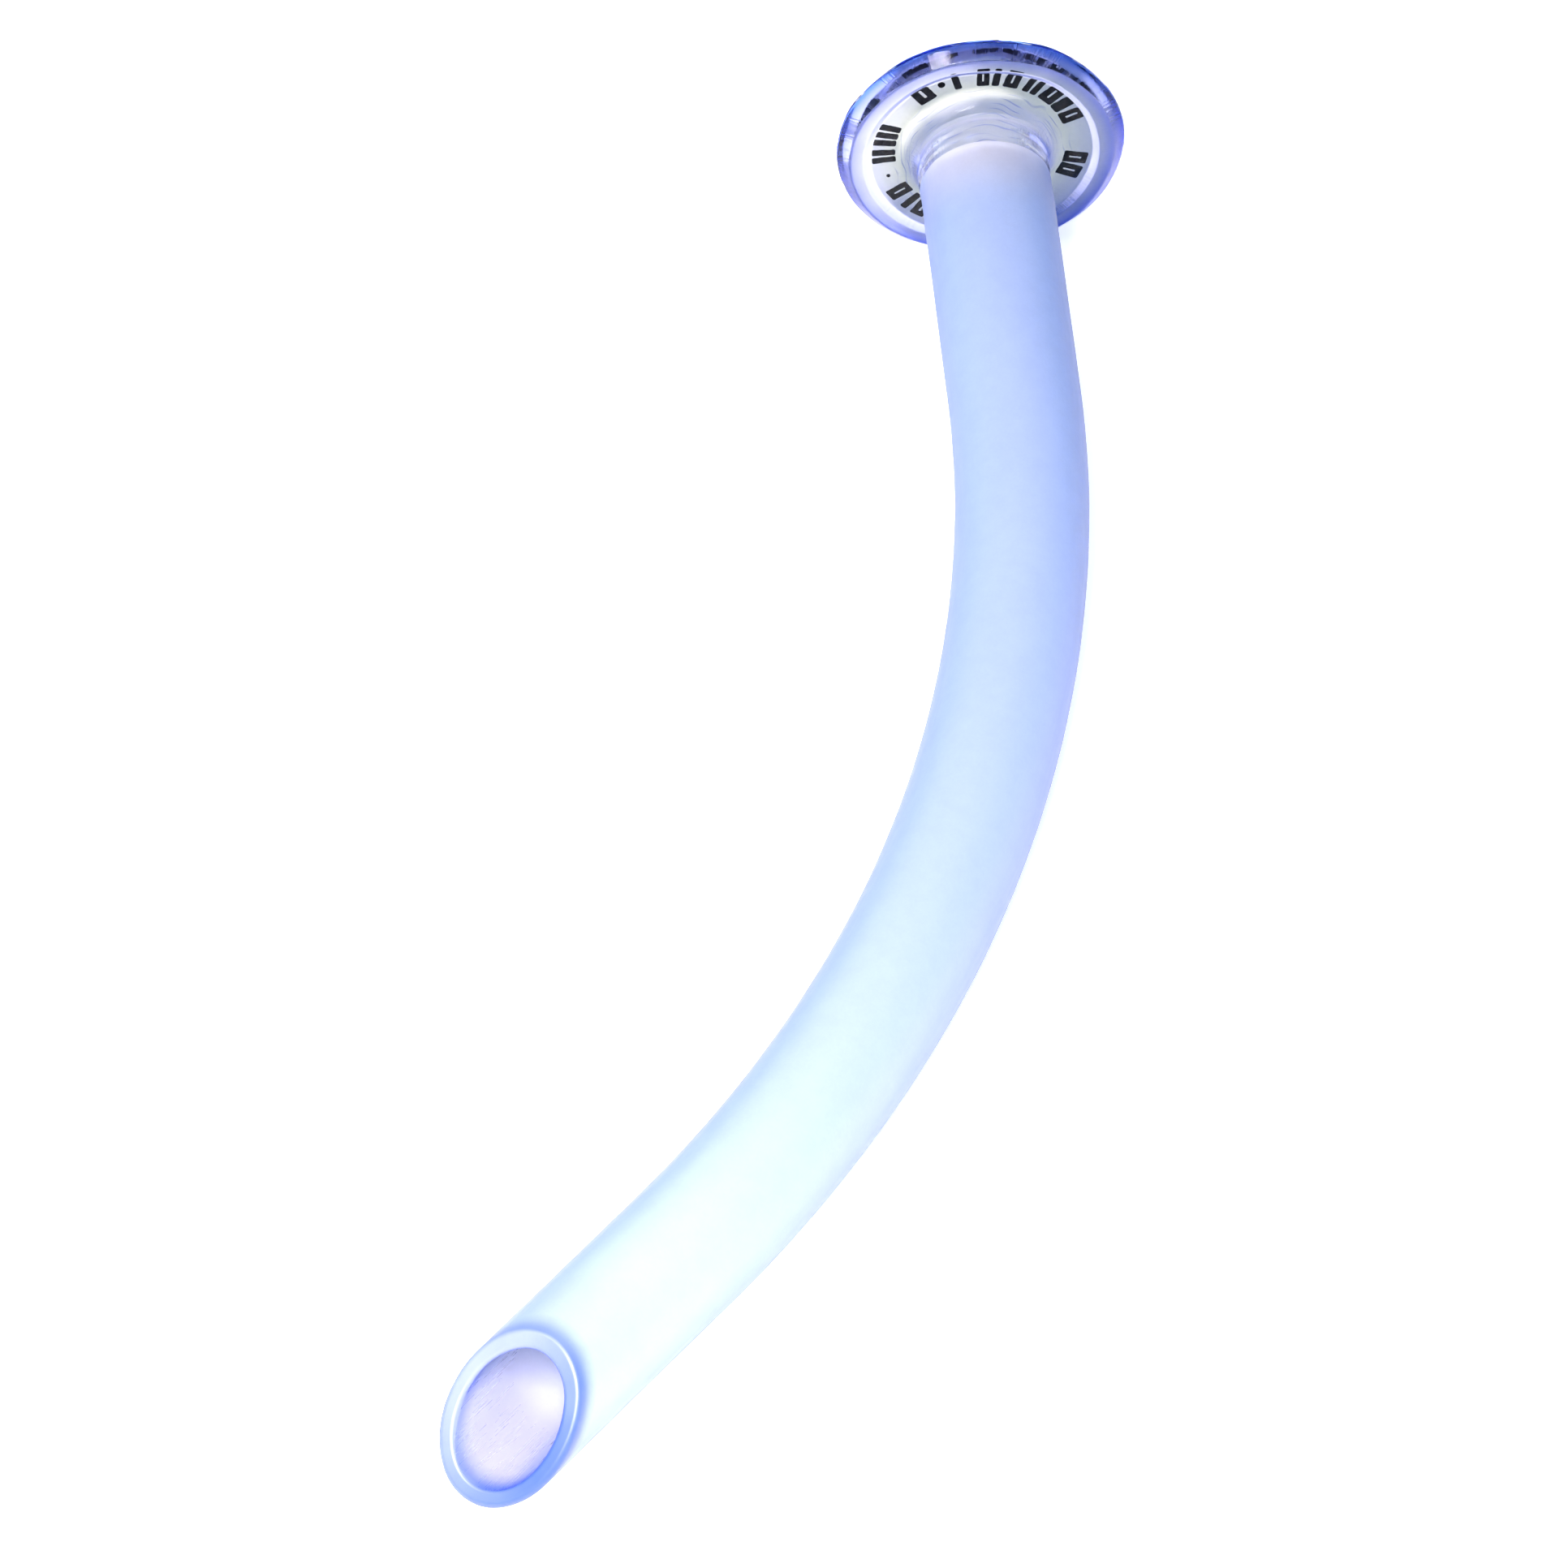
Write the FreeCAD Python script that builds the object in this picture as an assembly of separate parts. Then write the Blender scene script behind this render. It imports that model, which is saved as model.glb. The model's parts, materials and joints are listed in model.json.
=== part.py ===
import FreeCAD, Part
import math
import os

# A nasopharyngeal airway, in millimetres: one length of soft tubing, flared into a flange at one
# end, bent in one plane, cut on the slant at the other end and open all the way through.
# It is drawn with the crown of the flange's rim at the origin, the neck along +X, the bend
# towards -Y and the slanted cut facing up. Then it is laid down as it would rest on a table.

# Tubing
TUBE_OUTER_DIAMETER = 9.33
BORE_DIAMETER = 7.0

# Centre line, from the crown of the rim to the middle of the slanted cut
NECK_LENGTH = 23.6
BEND_RADIUS = 118.4
BEND_ANGLE_DEG = 41.4
TIP_LENGTH = 18.85

# Slanted tip: the angle is measured from a square cut
CUT_ANGLE_DEG = 42.5
TIP_OUTER_ROUNDING = 0.4
TIP_INNER_ROUNDING = 0.3

# The two roundings never use up more than these shares of the wall between them
OUTER_SHARE_OF_WALL = 0.52
INNER_SHARE_OF_WALL = 0.26

# Flange: a flat web inside a thicker rim, whose side widens away from the tube
FLANGE_DIAMETER = 20.54
WEB_THICKNESS = 1.2
RIM_CROWN_DIAMETER = 18.8
RIM_INNER_DIAMETER = 15.8
RIM_RISE = 0.35
RIM_RISE_WIDTH = 0.55
RIM_SIDE_DEPTH = 1.0
RIM_STEP_ROUNDING = 0.3
RIM_CROWN_ROUNDING = 0.35
RIM_BACK_ROUNDING = 0.4

# Where the tube flares into the flange: outside on the neck, inside at the mouth
NECK_FILLET = 1.2
MOUTH_ROUNDING = 2.4

# The table holds the part at the lowest point of the rim and of the tube. The search for that
# attitude looks this far either side of upright, and along the bend in steps of this angle.
LARGEST_TILT_DEG = 20.0
BEND_STEP_DEG = 0.5
SEARCH_STEPS = 40

# How near to the plane of the cut an edge has to lie to belong to it
CUT_TOLERANCE = 1e-6

# Worked out from the sizes above
TUBE_RADIUS = TUBE_OUTER_DIAMETER / 2
BORE_RADIUS = BORE_DIAMETER / 2
WALL = TUBE_RADIUS - BORE_RADIUS
FLANGE_RADIUS = FLANGE_DIAMETER / 2
WEB_FRONT_X = -RIM_RISE
FLANGE_BACK_X = WEB_FRONT_X - WEB_THICKNESS
BEND_ANGLE = math.radians(BEND_ANGLE_DEG)
CUT_ANGLE = math.radians(CUT_ANGLE_DEG)

NECK_AXIS = FreeCAD.Vector(1, 0, 0)
UP = FreeCAD.Vector(0, 0, 1)
BEND_START = NECK_AXIS * NECK_LENGTH
BEND_CENTRE = BEND_START + FreeCAD.Vector(0, -BEND_RADIUS, 0)


def bend_axis(turn):
    """Direction of the centre line after it has turned by an angle in radians."""
    return FreeCAD.Vector(math.cos(turn), -math.sin(turn), 0)


def bend_point(turn):
    """Point of the bent centre line after it has turned by an angle in radians."""
    outwards = FreeCAD.Vector(math.sin(turn), math.cos(turn), 0)
    return BEND_CENTRE + outwards * BEND_RADIUS


TIP_AXIS = bend_axis(BEND_ANGLE)
TIP_START = bend_point(BEND_ANGLE)
CUT_CENTRE = TIP_START + TIP_AXIS * TIP_LENGTH
CUT_NORMAL = TIP_AXIS * math.cos(CUT_ANGLE) + UP * math.sin(CUT_ANGLE)


def rounded_outline(corners):
    """Closed wire through corners given as (point, rounding), with a tangent arc at each rounding."""
    edges = []
    first = last = None
    for index, (corner, rounding) in enumerate(corners):
        before = corners[index - 1][0]
        after = corners[(index + 1) % len(corners)][0]
        start = end = corner
        if rounding > 0:
            back = (before - corner).normalize()
            ahead = (after - corner).normalize()
            half = back.getAngle(ahead) / 2
            start = corner + back * (rounding / math.tan(half))
            end = corner + ahead * (rounding / math.tan(half))
            middle = corner + (back + ahead).normalize() * (rounding / math.sin(half) - rounding)
        if last is None:
            first = start
        else:
            edges.append(Part.LineSegment(last, start).toShape())
        if rounding > 0:
            edges.append(Part.Arc(start, middle, end).toShape())
        last = end
    edges.append(Part.LineSegment(last, first).toShape())
    return Part.Wire(edges)


def tube_section(centre, axis):
    """Ring of the tube's wall, square to an axis."""
    outside = Part.Wire(Part.Circle(centre, axis, TUBE_RADIUS).toShape())
    inside = Part.Wire(Part.Circle(centre, axis, BORE_RADIUS).toShape())
    return Part.makeFace([outside, inside], "Part::FaceMakerBullseye")


def flange_and_neck():
    """Flange, flared neck and straight neck, turned from one profile about the neck's axis."""

    def at(x, radius):
        return FreeCAD.Vector(x, radius, 0)

    rim_inner_radius = RIM_INNER_DIAMETER / 2
    profile = rounded_outline([
        (at(NECK_LENGTH, TUBE_RADIUS), 0),
        (at(WEB_FRONT_X, TUBE_RADIUS), NECK_FILLET),
        (at(WEB_FRONT_X, rim_inner_radius), RIM_STEP_ROUNDING),
        (at(0, rim_inner_radius + RIM_RISE_WIDTH), RIM_STEP_ROUNDING),
        (at(0, RIM_CROWN_DIAMETER / 2), RIM_CROWN_ROUNDING),
        (at(-RIM_SIDE_DEPTH, FLANGE_RADIUS), 0),
        (at(FLANGE_BACK_X, FLANGE_RADIUS), RIM_BACK_ROUNDING),
        (at(FLANGE_BACK_X, BORE_RADIUS), MOUTH_ROUNDING),
        (at(NECK_LENGTH, BORE_RADIUS), 0),
    ])
    return Part.Face(profile).revolve(FreeCAD.Vector(0, 0, 0), NECK_AXIS, 360)


def bent_tube():
    """The tube's wall carried round the bend."""
    return tube_section(BEND_START, NECK_AXIS).revolve(BEND_CENTRE, -UP, BEND_ANGLE_DEG)


def cut_edges(solid):
    """Edges of a solid that lie in the plane of the slanted cut."""

    def on_cut(point):
        return abs((point - CUT_CENTRE).dot(CUT_NORMAL)) < CUT_TOLERANCE

    return [edge for edge in solid.Edges if on_cut(edge.CenterOfMass) and on_cut(edge.firstVertex().Point)]


def edge_length(edge):
    """Length of an edge."""
    return edge.Length


def slanted_tip():
    """Straight end of the tube, cut on the slant, with both edges of the cut rounded over."""
    longest = TIP_LENGTH + TUBE_OUTER_DIAMETER * math.tan(CUT_ANGLE)
    tip = tube_section(TIP_START, TIP_AXIS).extrude(TIP_AXIS * longest)
    waste = Part.makeBox(longest, longest, longest, FreeCAD.Vector(0, -longest / 2, -longest / 2))
    waste.Placement = FreeCAD.Placement(CUT_CENTRE, FreeCAD.Rotation(NECK_AXIS, CUT_NORMAL))
    tip = tip.cut(waste)

    outer_rounding = min(TIP_OUTER_ROUNDING, OUTER_SHARE_OF_WALL * WALL)
    inner_rounding = min(TIP_INNER_ROUNDING, INNER_SHARE_OF_WALL * WALL)
    tip = tip.makeFillet(outer_rounding, [max(cut_edges(tip), key=edge_length)])
    return tip.makeFillet(inner_rounding, [min(cut_edges(tip), key=edge_length)])


def touching_sections():
    """Round sections that can touch a table, each as its centre, its axis and its radius."""
    sections = [(NECK_AXIS * -RIM_SIDE_DEPTH, NECK_AXIS, FLANGE_RADIUS)]
    steps = math.ceil(BEND_ANGLE_DEG / BEND_STEP_DEG)
    for step in range(steps + 1):
        turn = BEND_ANGLE * step / steps
        sections.append((bend_point(turn), bend_axis(turn), TUBE_RADIUS))
    long_point = CUT_CENTRE + TIP_AXIS * (TUBE_RADIUS * math.tan(CUT_ANGLE))
    sections.append((long_point, TIP_AXIS, TUBE_RADIUS))
    return sections


def lowest_value(measure, low, high):
    """Where a measure is least between two bounds, by golden-section search, and how low it is."""
    golden = (math.sqrt(5) - 1) / 2
    for step in range(SEARCH_STEPS):
        left = high - golden * (high - low)
        right = low + golden * (high - low)
        if measure(left) < measure(right):
            high = right
        else:
            low = left
    middle = (low + high) / 2
    return middle, measure(middle)


def resting_up(solid):
    """The direction that points up when the part lies still: its centre of mass is then lowest."""
    sections = touching_sections()
    heart = solid.CenterOfMass
    reach = math.tan(math.radians(LARGEST_TILT_DEG))

    def direction(pitch, roll):
        return FreeCAD.Vector(pitch, roll, 1).normalize()

    def heart_height(up):
        table = min(
            centre.dot(up) - radius * math.sqrt(1 - axis.dot(up) ** 2)
            for centre, axis, radius in sections
        )
        return heart.dot(up) - table

    def best_pitch(roll):
        return lowest_value(lambda pitch: heart_height(direction(pitch, roll)), -reach, reach)

    roll, height = lowest_value(lambda value: best_pitch(value)[1], -reach, reach)
    return direction(best_pitch(roll)[0], roll)


def laid_down(solid):
    """The solid on its side on the plane z = 0, tip towards +X, with its box centred on Z."""
    upright = FreeCAD.Rotation(resting_up(solid), UP)
    chord = upright.multVec(CUT_CENTRE)
    turned = FreeCAD.Rotation(UP, -math.degrees(math.atan2(chord.y, chord.x)))
    rotation = turned.multiply(upright)

    laid = solid.copy()
    laid.Placement = FreeCAD.Placement(FreeCAD.Vector(0, 0, 0), rotation)
    box = laid.optimalBoundingBox(False, False)
    shift = FreeCAD.Vector(-box.Center.x, -box.Center.y, -box.ZMin)
    laid.Placement = FreeCAD.Placement(shift, rotation)
    return laid


def airway():
    """The whole moulding as one solid, at rest."""
    moulding = flange_and_neck().fuse([bent_tube(), slanted_tip()]).removeSplitter()
    return laid_down(moulding.Solids[0])


os.makedirs("parts", exist_ok=True)
airway().exportStep("parts/airway.step")
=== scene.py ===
"""Dresses a nasopharyngeal airway: a soft frosted tube with a clear flared flange and a slanted tip.

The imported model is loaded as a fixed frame. One moulding stands for its solid, with a smooth wall
swept along the same centre line, and a ring of plain printed marks lies on the flange's flat face.
All sizes are in millimetres and all finished meshes are in metres, in the frame of the model.
"""
import json
import logging
import math
from dataclasses import dataclass, field, replace
from enum import Enum
from typing import Any, Callable, NamedTuple

import bpy
from mathutils import Matrix, Vector


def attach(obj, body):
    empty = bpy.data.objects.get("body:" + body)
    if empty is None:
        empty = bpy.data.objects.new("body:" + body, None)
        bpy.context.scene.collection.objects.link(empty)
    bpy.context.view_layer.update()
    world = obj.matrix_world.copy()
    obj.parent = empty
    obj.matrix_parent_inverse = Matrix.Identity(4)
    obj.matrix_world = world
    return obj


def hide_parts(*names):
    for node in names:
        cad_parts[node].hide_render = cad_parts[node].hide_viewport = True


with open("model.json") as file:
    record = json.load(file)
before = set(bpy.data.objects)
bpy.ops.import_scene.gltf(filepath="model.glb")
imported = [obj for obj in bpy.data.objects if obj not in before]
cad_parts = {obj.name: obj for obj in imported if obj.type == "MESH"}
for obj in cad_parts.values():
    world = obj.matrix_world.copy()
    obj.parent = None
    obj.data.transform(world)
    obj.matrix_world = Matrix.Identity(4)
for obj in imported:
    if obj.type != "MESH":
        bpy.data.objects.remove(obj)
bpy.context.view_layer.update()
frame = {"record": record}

LOG = logging.getLogger("airway")
MM = 0.001
WHOLE_TURN = 2 * math.pi
WHITE = (1.0, 1.0, 1.0, 1.0)
ACROSS = (1.0, 1.0, 0.0)
MERGE_DISTANCE = 0.0005

Colour = tuple[float, float, float, float]
Places = tuple[tuple[float, float], ...]
Socket = bpy.types.NodeSocket


class Slot(Enum):
    """Material slots of the record."""

    FROSTED = "frosted_pvc"
    INK = "print_ink"


class Attribute(Enum):
    """Point attributes of the moulding that its finish reads."""

    ROLLED_OUT = "rolled_out"
    FROST = "frost"
    INSIDE = "inside"
    EDGE = "edge"


class MarkShape(Enum):
    """Shapes of the printed marks."""

    BAR = 0
    FRAME = 1
    DOT = 2


@dataclass(frozen=True)
class DesignAxes:
    """The moulding's own axes: the crown of the flange's rim is the origin and the neck runs along x.

    The tube bends towards -y and the slanted cut opens towards +z.
    """

    origin: Vector
    along_neck: Vector
    against_bend: Vector
    cut_side: Vector

    @classmethod
    def from_mounts(cls, mounts: list[dict[str, Any]], mouth_depth: float) -> "DesignAxes":
        """Finds the axes from the bores at both ends of the tube.

        Args:
            mounts: The record's mounts.
            mouth_depth: Distance from the rim's crown to the mouth bore's position, in mm.

        Returns:
            The axes in the frame of the model, with the origin in metres.
        """
        bores = {mount["name"]: mount for mount in mounts}
        neck = -Vector(bores["mouth_bore"]["axis"]).normalized()
        tip = Vector(bores["tip_bore"]["axis"]).normalized()
        cut_side = tip.cross(neck).normalized()
        origin = Vector(bores["mouth_bore"]["pos_m"]) - neck * (mouth_depth * MM)
        return cls(origin, neck, cut_side.cross(neck), cut_side)

    def matrix(self) -> Matrix:
        """Turns design millimetres into metres in the frame of the model."""
        axes = Matrix((self.along_neck, self.against_bend, self.cut_side)).transposed()
        return Matrix.Translation(self.origin) @ axes.to_4x4() @ Matrix.Scale(MM, 4)


class Graph:
    """A node tree under construction."""

    def __init__(self, tree: bpy.types.NodeTree) -> None:
        """Starts an empty tree.

        Args:
            tree: The tree to fill. Its present nodes are removed.
        """
        self.tree = tree
        tree.nodes.clear()

    def feed(self, socket: Socket, value: Any) -> None:
        """Links a socket to another, or sets its value.

        Args:
            socket: The input to feed.
            value: A socket, or a value that the input takes.
        """
        if isinstance(value, Socket):
            self.tree.links.new(value, socket)
        else:
            socket.default_value = value

    def node(self, kind: str, inputs: dict[Any, Any] | None = None, **settings: Any) -> bpy.types.Node:
        """Adds a node.

        Args:
            kind: Its type name.
            inputs: What feeds its inputs, by name or by number.
            **settings: Its own properties.

        Returns:
            The new node.
        """
        made = self.tree.nodes.new(kind)
        for name, value in settings.items():
            setattr(made, name, value)
        for key, value in (inputs or {}).items():
            self.feed(made.inputs[key], value)
        return made

    def out(self, kind: str, inputs: dict[Any, Any] | None = None, **settings: Any) -> Socket:
        """Adds a node and gives its first output."""
        return self.node(kind, inputs, **settings).outputs[0]

    def math(self, operation: str, *operands: Any) -> Socket:
        """Adds a Math node."""
        return self.out("ShaderNodeMath", dict(enumerate(operands)), operation=operation)

    def plus(self, first: Any, second: Any) -> Socket:
        """Adds a sum."""
        return self.math("ADD", first, second)

    def minus(self, first: Any, second: Any) -> Socket:
        """Adds a difference."""
        return self.math("SUBTRACT", first, second)

    def times(self, first: Any, second: Any) -> Socket:
        """Adds a product."""
        return self.math("MULTIPLY", first, second)

    def over(self, first: Any, second: Any) -> Socket:
        """Adds a quotient."""
        return self.math("DIVIDE", first, second)

    def vector(self, operation: str, *operands: Any) -> Socket:
        """Adds a Vector Math node."""
        return self.out("ShaderNodeVectorMath", dict(enumerate(operands)), operation=operation)

    def scaled(self, vector: Any, factor: Any) -> Socket:
        """Adds a vector times a number."""
        return self.out("ShaderNodeVectorMath", {0: vector, 3: factor}, operation="SCALE")

    def combined(self, x: Any, y: Any, z: Any) -> Socket:
        """Adds a vector made of three numbers."""
        return self.out("ShaderNodeCombineXYZ", {0: x, 1: y, 2: z})

    def mixed(self, factor: Any, low: Any, high: Any) -> Socket:
        """Adds a mix of two numbers."""
        return self.out("ShaderNodeMix", {0: factor, 2: low, 3: high}, data_type="FLOAT")

    def mixed_colour(self, factor: Any, low: Any, high: Any) -> Socket:
        """Adds a mix of two colours."""
        return self.node("ShaderNodeMix", {0: factor, 6: low, 7: high}, data_type="RGBA").outputs[2]

    def ranged(self, value: Any, low: float, high: float, new_low: Any, new_high: Any) -> Socket:
        """Adds a smooth clamped step from one value to another.

        Args:
            value: What is mapped.
            low: Where the step starts.
            high: Where the step ends.
            new_low: The result at the start.
            new_high: The result at the end.

        Returns:
            The mapped value.
        """
        inputs = {0: value, 1: low, 2: high, 3: new_low, 4: new_high}
        return self.out("ShaderNodeMapRange", inputs, interpolation_type="SMOOTHSTEP")

    def noise(self, vector: Any, scale: Any, detail: float, seed: Any) -> Socket:
        """Adds a noise value between 0 and 1.

        Args:
            vector: Where the noise is read.
            scale: Its scale.
            detail: Its number of finer octaves.
            seed: Its place along the fourth axis.

        Returns:
            The value.
        """
        inputs = {"Vector": vector, "W": seed, "Scale": scale, "Detail": detail}
        return self.out("ShaderNodeTexNoise", inputs, noise_dimensions="4D")


class Finish(Graph):
    """A material under construction."""

    def __init__(self, name: str) -> None:
        """Starts a material.

        Args:
            name: Its name.
        """
        self.material = bpy.data.materials.new(name)
        self.material.use_nodes = True
        super().__init__(self.material.node_tree)

    def bumped(self, strength: float, distance: float, height: Socket) -> Socket:
        """Adds a bumped normal."""
        inputs = {"Strength": strength, "Distance": distance, "Height": height}
        return self.out("ShaderNodeBump", inputs)

    def shaded(self, inputs: dict[str, Any]) -> bpy.types.Material:
        """Ends the material with a Principled shader.

        Args:
            inputs: What feeds the shader.

        Returns:
            The material.
        """
        shader = self.out("ShaderNodeBsdfPrincipled", inputs)
        self.node("ShaderNodeOutputMaterial", {"Surface": shader})
        return self.material


class GeometryTree(Graph):
    """A Geometry Nodes tree with named inputs, which turns one object's mesh into another."""

    def __init__(self, name: str, inputs: dict[str, Any]) -> None:
        """Makes the tree and its interface.

        Args:
            name: The tree's name.
            inputs: A value for each named input.
        """
        tree = bpy.data.node_groups.new(name, "GeometryNodeTree")
        super().__init__(tree)
        self.values = inputs
        tree.interface.new_socket("Geometry", in_out="INPUT", socket_type="NodeSocketGeometry")
        tree.interface.new_socket("Geometry", in_out="OUTPUT", socket_type="NodeSocketGeometry")
        for label, value in inputs.items():
            tree.interface.new_socket(label, in_out="INPUT", socket_type=self.socket_type(value))
        self.given = self.node("NodeGroupInput").outputs

    @staticmethod
    def socket_type(value: Any) -> str:
        """Name of the socket type that holds a value."""
        kinds = {bool: "NodeSocketBool", int: "NodeSocketInt", float: "NodeSocketFloat"}
        return kinds.get(type(value), "NodeSocketMaterial")

    def finish(self, geometry: Socket) -> None:
        """Ends the tree."""
        self.node("NodeGroupOutput", {0: geometry})

    def store(self, geometry: Any, name: str, value: Any, data_type: str, domain: str = "POINT") -> Socket:
        """Adds a Store Named Attribute node.

        Args:
            geometry: What it is stored on.
            name: The attribute's name.
            value: The value to store.
            data_type: The attribute's type.
            domain: The attribute's domain.

        Returns:
            The geometry with the attribute.
        """
        inputs = {"Geometry": geometry, "Name": name, "Value": value}
        kind = "GeometryNodeStoreNamedAttribute"
        return self.out(kind, inputs, data_type=data_type, domain=domain)

    def attribute(self, name: str, data_type: str = "FLOAT") -> Socket:
        """Adds a Named Attribute node."""
        return self.out("GeometryNodeInputNamedAttribute", {"Name": name}, data_type=data_type)

    def joined(self, *parts: Socket) -> Socket:
        """Adds a Join Geometry node.

        Args:
            *parts: What it joins.

        Returns:
            The joined geometry.
        """
        node = self.node("GeometryNodeJoinGeometry")
        for part in parts:
            self.feed(node.inputs[0], part)
        return node.outputs[0]

    def grown(self, seed_mesh: bpy.types.Mesh, name: str) -> bpy.types.Mesh:
        """Runs the tree on a mesh.

        Args:
            seed_mesh: The mesh that the tree starts from.
            name: Name of the result.

        Returns:
            A plain mesh with no modifier on it.
        """
        carrier = linked(name + "_seed", seed_mesh)
        modifier = carrier.modifiers.new("shape", "NODES")
        modifier.node_group = self.tree
        for item in self.tree.interface.items_tree:
            if item.in_out == "INPUT" and item.name in self.values:
                modifier[item.identifier] = self.values[item.name]
        graph = bpy.context.evaluated_depsgraph_get()
        mesh = bpy.data.meshes.new_from_object(carrier.evaluated_get(graph), depsgraph=graph)
        mesh.name = name
        bpy.data.objects.remove(carrier)
        bpy.data.meshes.remove(seed_mesh)
        return mesh


def input_values(sizes: Any, *fields: str) -> dict[str, Any]:
    """Gives a tree's inputs, such as Neck Length, the values of the fields with their names."""
    return {name.replace("_", " ").title(): getattr(sizes, name) for name in fields}


def seed_points(columns: dict[str, list[float]]) -> bpy.types.Mesh:
    """Makes a mesh of loose points that only carries attributes.

    Args:
        columns: The values of each attribute, one for each point.

    Returns:
        The mesh.
    """
    count = len(next(iter(columns.values())))
    mesh = bpy.data.meshes.new("points")
    mesh.vertices.add(count)
    for name, values in columns.items():
        mesh.attributes.new(name, "FLOAT", "POINT").data.foreach_set("value", values)
    return mesh


def linked(name: str, data: Any) -> bpy.types.Object:
    """Makes an object and links it to the scene.

    Args:
        name: Its name.
        data: Its mesh, camera or light.

    Returns:
        The object.
    """
    made = bpy.data.objects.new(name, data)
    bpy.context.scene.collection.objects.link(made)
    return made


def placed(mesh: bpy.types.Mesh, axes: DesignAxes) -> bpy.types.Object:
    """Makes a finished piece: its place is in its mesh and it rides on the body.

    Args:
        mesh: The piece in design millimetres.
        axes: The design axes.

    Returns:
        The piece.
    """
    mesh.transform(axes.matrix())
    piece = linked(mesh.name, mesh)
    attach(piece, "root")
    return piece


class Row(NamedTuple):
    """One row of the wall's section, from which the sweep makes a ring of points.

    A point is the rounding's centre plus the rounding in a direction that turns from the radius to
    the normal of the cut.
    """

    run: float
    radius: float
    rounding: float = 0.0
    side: float = 1.0
    turn: float = 0.0
    slant: float = 0.0
    frost: float = 0.0
    inside: float = 0.0
    edge: float = 0.0
    # Share of the painted shade round the cut: where it is 1, the edge tint is full on one side of the cut
    # and thinner on the other.
    sway: float = 0.0


def smooth_step(value: float, low: float, high: float) -> float:
    """Rises smoothly from 0 at the low bound to 1 at the high bound."""
    share = min(1.0, max(0.0, (value - low) / (high - low)))
    return share * share * (3 - 2 * share)


def rounded_chain(corners: list[tuple[float, float, float]], arc_step: float) -> list[tuple[float, float]]:
    """Samples an open chain of straight runs with tangent arcs at its corners.

    Args:
        corners: Each corner's run, radius and rounding. The first and last stay sharp.
        arc_step: Largest turn between neighbouring samples of an arc, in degrees.

    Returns:
        The samples, with one close to each end of every straight run.
    """
    hold = 0.08
    samples = [Vector(corners[0][:2])]
    for before, here, after in zip(corners, corners[1:], corners[2:]):
        corner = Vector(here[:2])
        back = (Vector(before[:2]) - corner).normalized()
        ahead = (Vector(after[:2]) - corner).normalized()
        half = back.angle(ahead) / 2
        reach = here[2] / math.tan(half)
        centre = corner + (back + ahead).normalized() * (here[2] / math.sin(half))
        start = corner + back * reach
        end = corner + ahead * reach
        samples.append(start + back * hold)
        sweep = math.pi - 2 * half
        steps = max(2, math.ceil(math.degrees(sweep) / arc_step))
        for step in range(steps + 1):
            spoke = (start - centre).normalized().slerp((end - centre).normalized(), step / steps)
            samples.append(centre + spoke * here[2])
        samples.append(end + ahead * hold)
    samples.append(Vector(corners[-1][:2]))
    return [(sample.x, sample.y) for sample in samples]


class Finishes(NamedTuple):
    """Materials along the moulding: the frosted tube, the clear neck and the clear flange."""

    tube: bpy.types.Material
    neck: bpy.types.Material
    flange: bpy.types.Material


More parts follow.
